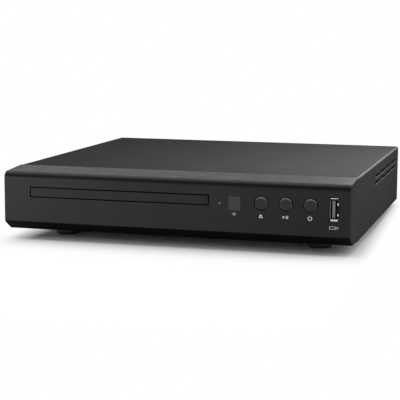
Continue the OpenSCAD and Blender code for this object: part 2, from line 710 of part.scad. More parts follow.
module clamper_puck() {
  low = tray_top + 1;
  flange = bridge_z + bridge_t + 0.05;
  color("#e4e4e0") in_loader() difference() {
    union() {
      post(bridge_hole_r - 1, 0, disc_y, low, flange + eps);
      post(bridge_hole_r + 2.1, 0, disc_y, flange, flange + 1.3);
    }
    post(8.5, 0, disc_y, low - 1, low + 2.2);
    post(7, 0, disc_y, flange - 1.4, flange + 2);
  }
}

module clamper_magnet() {
  flange = bridge_z + bridge_t + 0.05;
  color("#77797b") in_loader() post(6.9, 0, disc_y, flange - 1.4, flange + 0.9);
}

module tray_motor() {
  color("#c4c6c8") in_loader() union() {
    post(motor_r, motor_x, motor_y, deck_top, belt_z - 1.6);
    post(3, motor_x, motor_y, belt_z - 1.7, belt_z - 0.9);
    post(1, motor_x, motor_y, belt_z - 1, belt_z + 3);
  }
}

// A pulley whose belt runs at radius r, between two flanges
module pulley(r, rim) {
  post(r, 0, 0, belt_z - 0.2, belt_z + belt_t + 0.9);
  post(r + rim, 0, 0, belt_z - 0.7, belt_z - 0.1);
  post(r + rim, 0, 0, belt_z + belt_t + 0.3, belt_z + belt_t + 0.9);
}

module motor_pulley() {
  color("#e4e4e0") in_loader() translate([motor_x, motor_y, 0]) difference() {
    pulley(motor_pulley_r, 1.4);
    post(1 + bore_gap, 0, 0, belt_z - 2, belt_z + 5);
  }
}

module drive_belt() {
  color("#101010") in_loader() translate([0, 0, belt_z + 0.1]) linear_extrude(belt_t) difference() {
    hull() {
      translate([drive_x, wheel_y]) circle(r = pulley_r + 0.08 + belt_t, $fn = 96);
      translate([motor_x, motor_y]) circle(r = motor_pulley_r + 0.08 + belt_t, $fn = 96);
    }
    hull() {
      translate([drive_x, wheel_y]) circle(r = pulley_r + 0.08, $fn = 96);
      translate([motor_x, motor_y]) circle(r = motor_pulley_r + 0.08, $fn = 96);
    }
  }
}

module belt_wheel() {
  color("#e8e6da") in_loader() translate([drive_x, wheel_y, 0]) difference() {
    union() {
      pulley(pulley_r, 1.4);
      gear(pinion_teeth, belt_z + belt_t + 0.8, drive_z + 2.6, 90);
    }
    post(axle_r + bore_gap, 0, 0, belt_z - 2, drive_z + 9);
  }
}

module drive_gear() {
  color("#e8e6da") in_loader() translate([drive_x, drive_y, 0]) difference() {
    union() {
      gear(wheel_teeth, drive_z, drive_z + 2, 90 + 180 / wheel_teeth);
      gear(pinion_teeth, drive_z + 2 - eps, tray_floor - 0.2, 0);
      post(4, 0, 0, drive_z - 0.4, drive_z + eps);
    }
    post(axle_r + bore_gap, 0, 0, drive_z - 2, tray_floor + 2);
  }
}

// The cam lifts the drive unit's front pin along a slanting slot
module cam_slider() {
  foot_top = deck_top + 1.3;
  high = hinge_z + 4.5;
  slope_len = norm([cam_travel, cam_rise]);
  slope_a = atan2(cam_rise, -cam_travel);
  slot_r = pin_r + 0.5;
  color("#d9d7cb") in_loader() difference() {
    union() {
      span([pin_x - cam_travel - 6, cam_y, deck_top + slide_gap], [pin_x + 7, cam_y + cam_t, high]);
      span([pin_x - cam_travel - 6, cam_y - 4.2, deck_top + slide_gap], [pin_x + 7, cam_y + cam_t, foot_top]);
    }
    translate([pin_x, cam_y - 1, pin_low]) rotate([0, -slope_a, 0]) {
      translate([0, 0, -slot_r]) cube([slope_len, cam_t + 2, 2 * slot_r]);
      for (d = [0, slope_len]) translate([d, 0, 0]) rotate([-90, 0, 0]) cylinder(r = slot_r, h = cam_t + 2);
    }
  }
}

module traverse_frame() {
  top = unit_frame_z + unit_frame_t;
  back = 165;
  color("#1d1d1f") on_unit() union() {
    difference() {
      span([unit_left, unit_front, unit_frame_z], [unit_right, back, top]);
      span([unit_left + 11, unit_front + 12, unit_frame_z - 1], [unit_right - 14, back - 15, top + 1]);
    }
    for (x = [unit_left, unit_right - 4]) span([x, back - eps, unit_frame_z], [x + 4, hinge_y + 3, top]);
    rod_x_way(hinge_r, hinge_y, hinge_z, unit_left - 5.5, unit_left + eps);
    rod_x_way(hinge_r, hinge_y, hinge_z, unit_right - eps, unit_right + 5.5);
    rod_y(pin_r, pin_x, hinge_z, cam_y - 1.4, unit_front + eps);
    corners(damper_x, damper_y) translate([0, 0, top - eps]) cylinder(r = 1.2, h = plate_top - top + 0.6);
  }
}

module traverse_dampers() {
  top = unit_frame_z + unit_frame_t;
  color("#2b3a55") on_unit() corners(damper_x, damper_y) translate([0, 0, top]) difference() {
    cylinder(r = 3.6, h = unit_plate_z - top);
    translate([0, 0, -1]) cylinder(r = 1.3, h = 9);
  }
}

module traverse_plate() {
  hole = rod_r + 0.04;
  color("#b4b6b8") on_unit() difference() {
    union() {
      span([-28, unit_front + 4, unit_plate_z], [38, 163, plate_top]);
      for (x = [-rod_x, rod_x], y = [56, rod_y_end - 3]) span([x - 3, y, plate_top - eps], [x + 3, y + 4, rod_z + 2.4]);
      span([screw_x - 3, 76, plate_top - eps], [screw_x + 3, 79, rod_z + 2.4]);
    }
    span([-19.5, window_y[0], unit_plate_z - 1], [19.5, window_y[1], plate_top + 1]);
    for (x = [-rod_x, rod_x]) rod_y(hole, x, rod_z, 55, rod_y_end + 3);
    rod_y(1.4 + bore_gap, screw_x, rod_z, 75, 80);
    post(4, 0, disc_y, unit_plate_z - 1, plate_top + 1);
    corners(damper_x, damper_y) translate([0, 0, unit_plate_z - 1]) cylinder(r = 1.5, h = 4);
  }
}

module spindle_motor() {
  color("#c4c6c8") on_unit() difference() {
    union() {
      post(13, 0, disc_y, plate_top, plate_top + 3.2);
      post(3.6, 0, disc_y, unit_plate_z - 1.2, plate_top + 3.6);
    }
    post(1.08, 0, disc_y, unit_plate_z - 0.6, plate_top + 5);
  }
}

module turntable() {
  color("#3a3a3c") on_unit() translate([0, disc_y, 0]) union() {
    post(1, 0, 0, unit_plate_z - 0.4, disc_up);
    post(12, 0, 0, plate_top + 3.9, disc_up - 3.4);
    post(6, 0, 0, disc_up - 3.5, disc_up - 1.7);
    post(15, 0, 0, disc_up - 1.8, disc_up);
    translate([0, 0, disc_up - eps]) cylinder(r1 = 7.4, r2 = 6, h = 2.5);
  }
}

module guide_rods() {
  color("#d5d7d9") on_unit() for (x = [-rod_x, rod_x]) rod_y(rod_r, x, rod_z, 56, rod_y_end);
}

module feed_motor() {
  color("#c4c6c8") on_unit() difference() {
    span([screw_x - 4.4, feed_motor_y[0], plate_top], [screw_x + 5.8, feed_motor_y[1], plate_top + 6.2]);
    rod_y(1.46, screw_x, rod_z, feed_motor_y[0] - 1, feed_motor_y[1] - 1);
  }
}

module feed_screw() {
  color("#d5d7d9") on_unit() rod_y(1.4, screw_x, rod_z, 76.5, feed_motor_y[1] - 1.5);
}

module pickup_sled() {
  y0 = pickup_y - 9.5;
  y1 = pickup_y + 24;
  color("#8f9193") on_unit() difference() {
    union() {
      span([-18.8, y0, unit_plate_z - 2], [18.8, y1, plate_top + 0.4]);
      span([-20, y0, plate_top + 0.3], [20, y1, plate_top + 5.3]);
      span([-rod_x - 3.2, y0 + 2, plate_top + 0.3], [-19.9, y1 - 2, plate_top + 5.6]);
      span([19.9, y0 + 8, plate_top + 0.3], [screw_x + 3, y0 + 16, plate_top + 5.6]);
      for (s = [-1, 1]) span([s * 10.5 - 1, pickup_y - 5, plate_top + 5.2], [s * 10.5 + 1, pickup_y + 5, plate_top + 8]);
      span([-10, pickup_y + 9, plate_top + 5.2], [10, pickup_y + 12, plate_top + 8]);
    }
    rod_y(rod_r + bore_gap, -rod_x, rod_z, y0 - 1, y1 + 1);
    rod_y(rod_r + 0.25, rod_x, rod_z, y0 - 1, y1 + 1);
    rod_y(1.6, screw_x, rod_z, y0 - 1, y1 + 1);
  }
}

module lens_holder() {
  low = plate_top + 6.1;
  color("#17181a") on_unit() difference() {
    union() {
      span([-8.5, pickup_y - 6, low], [8.5, pickup_y + 7.5, low + 2.2]);
      for (x = [-7, 7], z = [0.5, 1.7]) rod_y(0.2, x, low + z, pickup_y + 7.4, pickup_y + 8.9);
    }
    post(3.3, 0, pickup_y, low - 1, low + 4);
  }
}

module objective_lens() {
  low = plate_top + 6.1;
  color("#7f9bd1") on_unit() translate([0, pickup_y, 0]) union() {
    post(3.25, 0, 0, low + 0.6, low + 1.9);
    translate([0, 0, low + 1.8]) cylinder(r1 = 2.6, r2 = 1.6, h = 0.7);
  }
}

// The ribbon's moving tail, which hangs from the pickup down to the fixed ribbon
module pickup_flex() {
  low = unit_plate_z - 2.5;
  color("#e9e2c8") on_unit() union() {
    span([-8, pickup_y, low], [8, pickup_y + 19, low + 0.5]);
    span([-8, pickup_y + 18.5, low - 8], [8, pickup_y + 19, low + 0.5]);
  }
}

module main_board() {
  color("#1f5a35") from_front() difference() {
    span([main_x[0], main_y[0], board_z], [main_x[1], main_y[1], board_z + board_t]);
    corners(main_x + [4, -4], main_y + [4, -14]) translate([0, 0, board_z - 1]) cylinder(r = 1.3, h = 4);
  }
}

module decoder_chip() {
  z = board_z + board_t;
  color("#202022") from_front() span([main_x[0] + 18, main_y[0] + 34, z], [main_x[0] + 38, main_y[0] + 54, z + 1.6]);
}

module main_board_parts() {
  z = board_z + board_t;
  left = main_x[0];
  front = main_y[0];
  color("#2c2d33") from_front() {
    for (p = [[12, 64], [24, 70], [36, 70], [60, 26]]) post(3.2, left + p[0], front + p[1], z, z + 8);
    for (p = [[60, 42], [60, 54]]) post(4, left + p[0], front + p[1], z, z + 11);
    span([left + 16, front + 14, z], [left + 28, front + 20, z + 1.2]);
    span([left + 44, front + 12, z], [left + 50, front + 22, z + 1.2]);
    span([left + 42, front + 36, z], [left + 53, front + 40.5, z + 3.4]);
    span([left + 0.6, front + 28, z], [left + 5.6, front + 48, z + 4]);
    span([left + 26, front + 0.8, z], [left + 48, front + 6, z + 5]);
    span([left + 2, front + 83, z], [left + 8, front + 91, z + 4.5]);
  }
}

module hdmi_socket() {
  z = board_z + board_t;
  y0 = rear_in - 11;
  y1 = rear_out + 0.4;
  color("#b9bbbd") from_front() translate([hdmi_x, 0, z]) union() {
    difference() {
      span([-7.4, y0, 0], [7.4, y1, 5.9]);
      span([-6.95, y0 + 2, 1.9], [6.95, y1 + 1, 5.45]);
      span([-5.6, y0 + 2, 0.5], [5.6, y1 + 1, 2]);
    }
    span([-5, y0 + 1.9, 3], [5, y1 - 1.2, 4]);
  }
}

// A round socket: a moulded block behind the panel, and a sleeve that stands out of it
module round_jack(i, paint) {
  x = jack_x + i * jack_pitch;
  block_y = rear_in - 0.15;
  color(paint) from_front() translate([x, 0, 0]) difference() {
    union() {
      span([-5.2, block_y - 11, board_z + board_t], [5.2, block_y, jack_z + 5.6]);
      rod_y(jack_r, 0, jack_z, block_y - eps, rear_out + jack_out);
    }
    rod_y(jack_r - 0.5, 0, jack_z, rear_out + 2, rear_out + jack_out + 1);
    rod_y(1.6, 0, jack_z, block_y - 5, rear_out + jack_out + 1);
  }
}

module video_jack() { round_jack(3, "#d9b53a"); }
module audio_jack_left() { round_jack(2, "#e6e6e2"); }
module audio_jack_right() { round_jack(1, "#b8322c"); }
module coaxial_jack() { round_jack(0, "#d2732c"); }

module power_board() {
  color("#b08a4a") from_front() difference() {
    span([power_x[0], power_y[0], board_z], [power_x[1], power_y[1], board_z + board_t]);
    corners(power_x + [4, -4], power_y + [4, -14]) translate([0, 0, board_z - 1]) cylinder(r = 1.3, h = 4);
  }
}

module power_transformer() {
  z = board_z + board_t;
  x = -side_x + 66;
  y = power_y[0] + 6;
  color("#d9c64a") from_front() union() {
    span([x, y, z], [x + 20, y + 17, z + 4]);
    span([x + 3, y + 1.5, z + 4 - eps], [x + 17, y + 15.5, z + 16]);
    span([x + 0.5, y + 5, z + 4 - eps], [x + 19.5, y + 12, z + 17]);
  }
}

module power_board_parts() {
  z = board_z + board_t;
  x = -side_x;
  y = power_y[0];
  color("#27282c") from_front() {
    post(8, x + 52, y + 15, z, z + 22);
    for (i = [0, 1, 2]) post(3.6, x + 93 + (i % 2) * 2, y + 7.5 + 8.5 * i, z, z + 12);
    rod_y(2.6, x + 39.5, z + 2.7, y + 3, y + 21);
    span([x + 18, y + 5, z], [x + 34, y + 11, z + 12]);
    span([x + 100, y + 8, z], [x + 106, y + 16, z + 6]);
  }
}

module mains_inlet() {
  y1 = rear_out + 0.8;
  y0 = y1 - inlet_deep - 4;
  r = inlet_h / 2;
  off = inlet_w / 2 - r;
  color("#1b1b1d") from_front() translate([inlet_x, 0, inlet_z]) difference() {
    union() {
      span([-10, y0, -7], [10, y1, 6.5]);
      span([-12, rear_out, -8], [12, y1, 8]);
    }
    for (s = [-1, 1]) rod_y(r, s * off, 0, y1 - inlet_deep, y1 + 1);
    span([-off, y1 - inlet_deep, -r], [off, y1 + 1, r]);
    for (s = [-1, 1]) rod_y(pin_base_r + 0.02, s * pin_pitch / 2, 0, y0 + 1, y1);
  }
}

module inlet_pins() {
  y1 = rear_out + 0.8;
  y0 = y1 - inlet_deep - 4;
  color("#c9b27a") from_front() translate([inlet_x, 0, inlet_z]) for (s = [-1, 1]) union() {
    rod_y(pin_base_r, s * pin_pitch / 2, 0, y0 + 1, y1 - inlet_deep + eps);
    rod_y(1.18, s * pin_pitch / 2, 0, y1 - inlet_deep, y1 - 2);
  }
}

// A flat ribbon bent along a route in Y and Z, as wide as w from x
module ribbon_yz(route, x, w, t) {
  translate([x, 0, 0]) rotate([90, 0, 90]) linear_extrude(w)
    polygon(concat(route, [for (i = [len(route) - 1 : -1 : 0]) route[i] + [0, t]]));
}

module front_ribbon() {
  top = board_z + board_t;
  color("#cfcfd4") from_front() union() {
    span([side_x - 54, board_y + board_t, front_board_z + 8], [side_x - 32, board_y + board_t + 4, front_board_z + 14]);
    ribbon_yz([[board_y + board_t + 3.8, front_board_z + 10], [board_y + board_t + 7, front_board_z + 8], [bezel_d + 4, floor_z + 1],
      [main_y[0] - 14, floor_z + 1], [main_y[0] - 2, top + 2], [main_y[0] + 0.75, top + 2]], side_x - 52, 18, 0.7);
  }
}

module loader_ribbon() {
  top = board_z + board_t + 2;
  x0 = slot_x - 8;
  x1 = main_x[0] - 2;
  y = main_y[0] + 32;
  color("#e9e2c8") from_front() union() {
    span([x0, y - 3, floor_z + 0.1], [x1, y + 11, floor_z + 0.6]);
    span([x0, pickup_y + 19, floor_z + 0.1], [x0 + 16, y, floor_z + 0.6]);
    span([x0, pickup_y + 19, floor_z + 0.1], [x0 + 16, pickup_y + 19.5, deck_top + 0.5]);
    span([x1 - 0.5, y - 3, floor_z + 0.1], [x1, y + 11, top]);
    span([x1 - 0.5, y - 3, top - 0.5], [main_x[0] + 0.5, y + 11, top]);
  }
}

module power_ribbon() {
  z = board_z + board_t;
  x0 = -side_x + 106.1;
  x1 = main_x[0] + 1.9;
  y = power_y[0] + 9;
  low = [[x0, z + 2], [x0 + 4, z + 2], [x0 + 14, z + 5], [x1 - 12, z + 5], [x1 - 3, z + 2], [x1, z + 2]];
  color("#b23a34") from_front() translate([0, y, 0]) rotate([90, 0, 0]) translate([0, 0, -6]) linear_extrude(6)
    polygon(concat(low, [for (i = [len(low) - 1 : -1 : 0]) low[i] + [0, 1]]));
}

chassis_pan();
top_cover();
rear_panel();
front_panel();
cover_screws();
foot_front_left();
foot_front_right();
foot_rear_left();
foot_rear_right();
ir_window();
indicator_led();
usb_shell();
usb_tongue();
front_board();
button_switches();
ir_receiver();
eject_button();
play_button();
power_button();
tray_fascia();
disc_tray();
loader_frame();
inner_screws();
clamper_bridge();
clamper_puck();
clamper_magnet();
tray_motor();
motor_pulley();
drive_belt();
belt_wheel();
drive_gear();
cam_slider();
traverse_frame();
traverse_plate();
traverse_dampers();
spindle_motor();
turntable();
guide_rods();
feed_motor();
feed_screw();
pickup_sled();
lens_holder();
objective_lens();
pickup_flex();
main_board();
decoder_chip();
main_board_parts();
hdmi_socket();
video_jack();
audio_jack_left();
audio_jack_right();
coaxial_jack();
power_board();
power_transformer();
power_board_parts();
mains_inlet();
inlet_pins();
front_ribbon();
loader_ribbon();
power_ribbon();
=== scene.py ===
"""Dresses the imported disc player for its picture.

Every piece gets a material, the front gets its printed signs, and a pale studio and the camera are made.
"""

import math

import bmesh
import bpy
from mathutils import Matrix, Vector


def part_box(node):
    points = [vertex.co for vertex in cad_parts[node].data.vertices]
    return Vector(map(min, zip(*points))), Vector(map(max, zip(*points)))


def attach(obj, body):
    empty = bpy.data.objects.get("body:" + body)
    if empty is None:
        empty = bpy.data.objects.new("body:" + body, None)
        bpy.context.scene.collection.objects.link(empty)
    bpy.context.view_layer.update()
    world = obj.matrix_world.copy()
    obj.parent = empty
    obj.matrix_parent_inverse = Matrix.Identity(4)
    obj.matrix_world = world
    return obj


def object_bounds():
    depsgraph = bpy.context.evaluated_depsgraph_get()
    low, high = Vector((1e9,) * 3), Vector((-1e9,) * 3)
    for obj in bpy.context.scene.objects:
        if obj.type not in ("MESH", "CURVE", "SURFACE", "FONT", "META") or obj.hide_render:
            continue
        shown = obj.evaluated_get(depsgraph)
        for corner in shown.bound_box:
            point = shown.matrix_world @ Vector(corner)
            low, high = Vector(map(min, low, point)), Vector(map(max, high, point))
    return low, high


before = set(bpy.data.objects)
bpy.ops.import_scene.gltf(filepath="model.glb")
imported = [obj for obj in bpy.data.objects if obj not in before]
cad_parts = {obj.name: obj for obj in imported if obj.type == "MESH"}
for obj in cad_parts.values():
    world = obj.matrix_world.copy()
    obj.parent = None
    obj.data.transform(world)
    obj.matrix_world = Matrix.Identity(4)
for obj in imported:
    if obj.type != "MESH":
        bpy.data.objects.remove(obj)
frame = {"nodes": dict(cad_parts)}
cad_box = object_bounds()
nodes = frame["nodes"]
scene = bpy.context.scene

MM = 0.001
WHITE = (1.0, 1.0, 1.0, 1.0)


# ---------------------------------------------------------------- camera

PHOTO_WIDTH_PX = 400.0
FOCAL_PX = 1264.4
SENSOR_MM = 36.0
CLIP_NEAR, CLIP_FAR = 0.05, 20.0
CAMERA_PLACE = (0.24479, -0.91657, 0.15328)
CAMERA_YAW, CAMERA_PITCH, CAMERA_ROLL = -15.824, 8.294, 0.279


def make_camera():
    """A plain centred camera, fitted to the edges of the case in the photograph."""
    yaw, pitch, roll = (math.radians(angle) for angle in (CAMERA_YAW, CAMERA_PITCH, CAMERA_ROLL))
    forward = Vector((math.sin(yaw) * math.cos(pitch), math.cos(yaw) * math.cos(pitch), -math.sin(pitch)))
    level_right = Vector((math.cos(yaw), -math.sin(yaw), 0.0))
    level_up = level_right.cross(forward)
    right = math.cos(roll) * level_right + math.sin(roll) * level_up
    up = -math.sin(roll) * level_right + math.cos(roll) * level_up
    data = bpy.data.cameras.new("camera")
    data.sensor_width = SENSOR_MM
    data.lens = SENSOR_MM * FOCAL_PX / PHOTO_WIDTH_PX
    data.clip_start, data.clip_end = CLIP_NEAR, CLIP_FAR
    cam = bpy.data.objects.new("camera", data)
    scene.collection.objects.link(cam)
    turn = Matrix((right, up, -forward)).transposed().to_4x4()
    cam.matrix_world = Matrix.Translation(CAMERA_PLACE) @ turn
    scene.camera = cam


# ---------------------------------------------------------------- material nodes

NOISE_LOW, NOISE_HIGH = 0.3, 0.7  # most of a noise's values lie between these
BEVEL_SAMPLES = 6
COLOR_A, COLOR_B, COLOR_RESULT = 6, 7, 2  # a Mix node's colour sockets, whose names it has more than once


class Graph:
    """A short way to write a material's nodes."""

    def __init__(self, name):
        self.mat = bpy.data.materials.new(name)
        self.mat.use_nodes = True
        self.tree = self.mat.node_tree
        self.shader = self.tree.nodes["Principled BSDF"]
        self.place = None

    def add(self, kind, **values):
        """A new node. Each value goes to the socket of that name, or else to the node's own setting."""
        node = self.tree.nodes.new(kind)
        for key, value in values.items():
            if key in node.inputs:
                node.inputs[key].default_value = value
            else:
                setattr(node, key, value)
        return node

    def link(self, a, b):
        self.tree.links.new(a, b)

    def where(self):
        """Positions in the object's own frame, in metres."""
        if self.place is None:
            self.place = self.add("ShaderNodeTexCoord").outputs["Object"]
        return self.place

    def axes(self):
        """The positions' X, Y and Z."""
        split = self.add("ShaderNodeSeparateXYZ")
        self.link(self.where(), split.inputs["Vector"])
        return split.outputs

    def noise(self, scale, detail=3.0, stretch=None):
        """Noise of that many waves to the metre."""
        node = self.add("ShaderNodeTexNoise", Scale=scale, Detail=detail, Roughness=0.55)
        where = self.where()
        if stretch:
            shift = self.add("ShaderNodeMapping")
            shift.inputs["Scale"].default_value = stretch
            self.link(where, shift.inputs["Vector"])
            where = shift.outputs["Vector"]
        self.link(where, node.inputs["Vector"])
        return node.outputs["Fac"]

    def cells(self, scale):
        """Values from 0 to 1, each the same all over a cell of a pattern: Red, Green and Blue."""
        pattern = self.add("ShaderNodeTexVoronoi", Scale=scale)
        self.link(self.where(), pattern.inputs["Vector"])
        split = self.add("ShaderNodeSeparateColor")
        self.link(pattern.outputs["Color"], split.inputs["Color"])
        return split.outputs

    def span(self, value, low, high, start=NOISE_LOW, end=NOISE_HIGH):
        """Goes from low to high as the value goes from start to end."""
        node = self.add("ShaderNodeMapRange")
        node.inputs["From Min"].default_value = start
        node.inputs["From Max"].default_value = end
        node.inputs["To Min"].default_value = low
        node.inputs["To Max"].default_value = high
        self.link(value, node.inputs["Value"])
        return node.outputs["Result"]

    def tones(self, value, dark, light):
        """A colour that goes from dark to light with the value, as noise has it."""
        node = self.add("ShaderNodeValToRGB")
        for element, position, color in zip(node.color_ramp.elements, (NOISE_LOW, NOISE_HIGH), (dark, light)):
            element.position, element.color = position, (*color, 1.0)
        self.link(value, node.inputs["Fac"])
        return node.outputs["Color"]

    def math(self, operation, a, b=None):
        node = self.add("ShaderNodeMath", operation=operation)
        for value, socket in ((a, node.inputs[0]), (b, node.inputs[1])):
            if isinstance(value, (int, float)):
                socket.default_value = value
            elif value is not None:
                self.link(value, socket)
        return node.outputs["Value"]

    def blend(self, share, base, other):
        """The base colour, with the other one over it by its share."""
        mix = self.add("ShaderNodeMix", data_type="RGBA")
        self.link(share, mix.inputs["Factor"])
        self.link(base, mix.inputs[COLOR_A])
        mix.inputs[COLOR_B].default_value = (*other, 1.0)
        return mix.outputs[COLOR_RESULT]

    def bump(self, value, height, strength, under=None):
        node = self.add("ShaderNodeBump", Distance=height, Strength=strength)
        self.link(value, node.inputs["Height"])
        if under is not None:
            self.link(under, node.inputs["Normal"])
        return node.outputs["Normal"]

    def own_normal(self, rounding=None):
        """How far it faces left or right, and how far up. rounding takes its sharp edges with that radius."""
        if rounding:
            source = self.add("ShaderNodeBevel", samples=BEVEL_SAMPLES, Radius=rounding)
        else:
            source = self.add("ShaderNodeTexCoord")
        split = self.add("ShaderNodeSeparateXYZ")
        self.link(source.outputs["Normal"], split.inputs["Vector"])
        return self.math("ABSOLUTE", split.outputs["X"]), split.outputs["Z"]

    def set(self, **sockets):
        """Values that are the same all over, on the shader's own sockets."""
        for key, value in sockets.items():
            self.shader.inputs[key.replace("_", " ")].default_value = value

    def feed(self, **sockets):
        """Outputs that reach the shader's sockets."""
        for key, value in sockets.items():
            self.link(value, self.shader.inputs[key.replace("_", " ")])


def shade(color, factor):
    return tuple(min(1.0, c * factor) for c in color)


# ---------------------------------------------------------------- materials

BLACK_FACE = (0.011, 0.011, 0.0115)
BLACK_COVER = (0.0213, 0.0213, 0.0217)
BLACK_BUTTON = (0.013, 0.013, 0.0135)
BLACK_INSIDE = (0.016, 0.016, 0.017)
# the lighter tones of the painted highlight along bends, on plastic and on paint
BEND_HIGHLIGHT_PLASTIC = (0.09, 0.09, 0.091)
BEND_HIGHLIGHT_PAINT = (0.065, 0.065, 0.0655)
# the painted highlight on a button's rim
BUTTON_RIM_HIGHLIGHT = (0.3, 0.3, 0.305)
BRIGHT_STEEL = (0.62, 0.63, 0.64)
ZINC = (0.45, 0.46, 0.47)
GREEN_BOARD = dict(color=(0.008, 0.075, 0.03), track=(0.02, 0.14, 0.055))

# the width of the painted highlight along sharp edges
EDGE_HIGHLIGHT_WIDTH = 0.0006
BEND_RADIUS = 0.0008


def painted_edge_highlight(g, base, light, amount):
    """A painted highlight: a slightly lighter tone along sharp edges."""
    bevel = g.add("ShaderNodeBevel", samples=BEVEL_SAMPLES, Radius=EDGE_HIGHLIGHT_WIDTH)
    geometry = g.add("ShaderNodeNewGeometry")
    dot = g.add("ShaderNodeVectorMath", operation="DOT_PRODUCT")
    g.link(bevel.outputs["Normal"], dot.inputs[0])
    g.link(geometry.outputs["Normal"], dot.inputs[1])
    edge = g.span(dot.outputs["Value"], amount, 0.0, start=0.75, end=0.99)
    return g.blend(edge, base, light)


def painted_bend_highlight(g, base, light):
    """A painted highlight: a lighter tone along the bends between the top and the sides."""
    side, up = g.own_normal(BEND_RADIUS)
    bend = g.span(g.math("MULTIPLY", side, up), 0.0, 1.0, start=0.2, end=0.5)
    return g.blend(bend, base, light)


def plastic(name, color, rough, level=0.5, grain=0.00002, grain_scale=2600.0,
            edges=0.0, side_grain=0.0, folds=0.0):
    """Moulded plastic with a fine grain and faint flow marks.

    edges is how strong the painted highlight along its sharp edges is. side_grain is added to the roughness
    where it faces left or right, as on the coarser grain that a mould's side cores leave. folds is how
    metallic it looks on its roll and lower bevel, which get painted shade, a much darker base colour; with
    folds its bends also get a painted highlight.
    """
    g = Graph(name)
    base = g.tones(g.noise(45.0, detail=4.0), shade(color, 0.92), shade(color, 1.08))
    # painted highlight: a lighter tone along its sharp edges
    if edges:
        base = painted_edge_highlight(g, base, shade(color, 2.6), edges)
    gloss = g.span(g.noise(160.0), rough - 0.04, rough + 0.05)
    if side_grain:
        side, _ = g.own_normal()
        gloss = g.math("ADD", gloss, g.span(side, 0.0, side_grain, start=0.6, end=0.95))
    if folds:
        # painted highlight along its bends
        base = painted_bend_highlight(g, base, BEND_HIGHLIGHT_PLASTIC)
        # painted shade: the roll under the band and the lower bevel get a much darker base colour, and turn
        # metallic by folds
        _, up = g.own_normal()
        roll_from_face = g.span(up, 0.0, 0.8, start=0.0, end=0.3)
        roll_to_top = g.span(up, 1.0, 0.0, start=0.6, end=0.85)
        roll = g.math("MULTIPLY", roll_from_face, roll_to_top)
        bevel = g.span(up, 1.0, 0.0, start=-0.45, end=-0.1)
        painted_fold_shade = g.math("MAXIMUM", roll, bevel)
        base = g.blend(painted_fold_shade, base, shade(color, 0.1))
        gloss = g.math("MAXIMUM", gloss, g.math("MULTIPLY", painted_fold_shade, 0.95))
        g.feed(Metallic=g.math("MULTIPLY", painted_fold_shade, folds))
    fine = g.bump(g.noise(grain_scale, detail=2.0), grain, strength=0.6)
    g.feed(Base_Color=base, Roughness=gloss, Normal=fine)
    g.set(Specular_IOR_Level=level)
    return g.mat


def button(name):
    """A moulded button with a painted highlight on its rim, most at its top."""
    g = Graph(name)
    base = g.tones(g.noise(45.0, detail=4.0), shade(BLACK_BUTTON, 0.92), shade(BLACK_BUTTON, 1.08))
    side, up = g.own_normal()
    rim_above = g.span(up, 0.0, 1.0, start=0.25, end=0.75)
    rim_beside = g.span(side, 0.0, 0.3, start=0.3, end=0.8)
    # painted highlight: lighter on the rim where it faces up, and less where it faces sideways
    base = g.blend(g.math("MAXIMUM", rim_above, rim_beside), base, BUTTON_RIM_HIGHLIGHT)
    fine = g.bump(g.noise(2600.0, detail=2.0), 0.00002, strength=0.6)
    g.feed(Base_Color=base, Roughness=g.span(g.noise(160.0), 0.26, 0.35), Normal=fine)
    g.set(Specular_IOR_Level=0.27)
    return g.mat


def coat(name):
    """Dull black paint on sheet steel, with the orange peel that sprayed paint has."""
    g = Graph(name)
    base = g.tones(g.noise(30.0, detail=4.0), shade(BLACK_COVER, 0.94), shade(BLACK_COVER, 1.06))
    # painted highlight along the bends between top and sides
    base = painted_bend_highlight(g, base, BEND_HIGHLIGHT_PAINT)
    peel = g.bump(g.noise(900.0, detail=2.0), 0.00006, strength=0.35)
    fine = g.bump(g.noise(3800.0, detail=2.0), 0.00003, strength=0.45, under=peel)
    g.feed(Base_Color=base, Roughness=g.span(g.noise(120.0), 0.76, 0.85), Normal=fine)
    g.set(Specular_IOR_Level=0.001)
    return g.mat


def metal(name, color, rough, brush=None):
    """Bare or plated metal. brush stretches its fine lines along one axis."""
    g = Graph(name)
    lines = g.noise(1400.0, stretch=brush) if brush else g.noise(500.0, detail=4.0)
    base = g.tones(g.noise(90.0, detail=5.0), shade(color, 0.88), shade(color, 1.072))
    fine = g.bump(lines, 0.000003, strength=0.5)
    g.feed(Base_Color=base, Roughness=g.span(lines, rough - 0.08, rough + 0.12), Normal=fine)
    g.set(Metallic=1.0)
    return g.mat


def zinc(name):
    """Galvanised sheet with its pattern of crystals."""
    g = Graph(name)
    crystals = g.cells(230.0)["Red"]
    base = g.tones(crystals, shade(ZINC, 0.88), ZINC)
    fine = g.bump(g.noise(700.0), 0.00001, strength=0.4)
    g.feed(Base_Color=base, Roughness=g.span(crystals, 0.36, 0.48, start=0.0, end=1.0), Normal=fine)
    g.set(Metallic=1.0)
    return g.mat


def rubber(name, color=(0.012, 0.012, 0.012), rough=0.5):
    """Rubber with a little dust on it."""
    g = Graph(name)
    dust = g.tones(g.noise(320.0, detail=5.0), color, shade(color, 1.8))
    fine = g.bump(g.noise(1500.0, detail=2.0), 0.00003, strength=0.5)
    g.feed(Base_Color=dust, Roughness=g.span(g.noise(240.0), rough - 0.05, rough + 0.1), Normal=fine)
    return g.mat


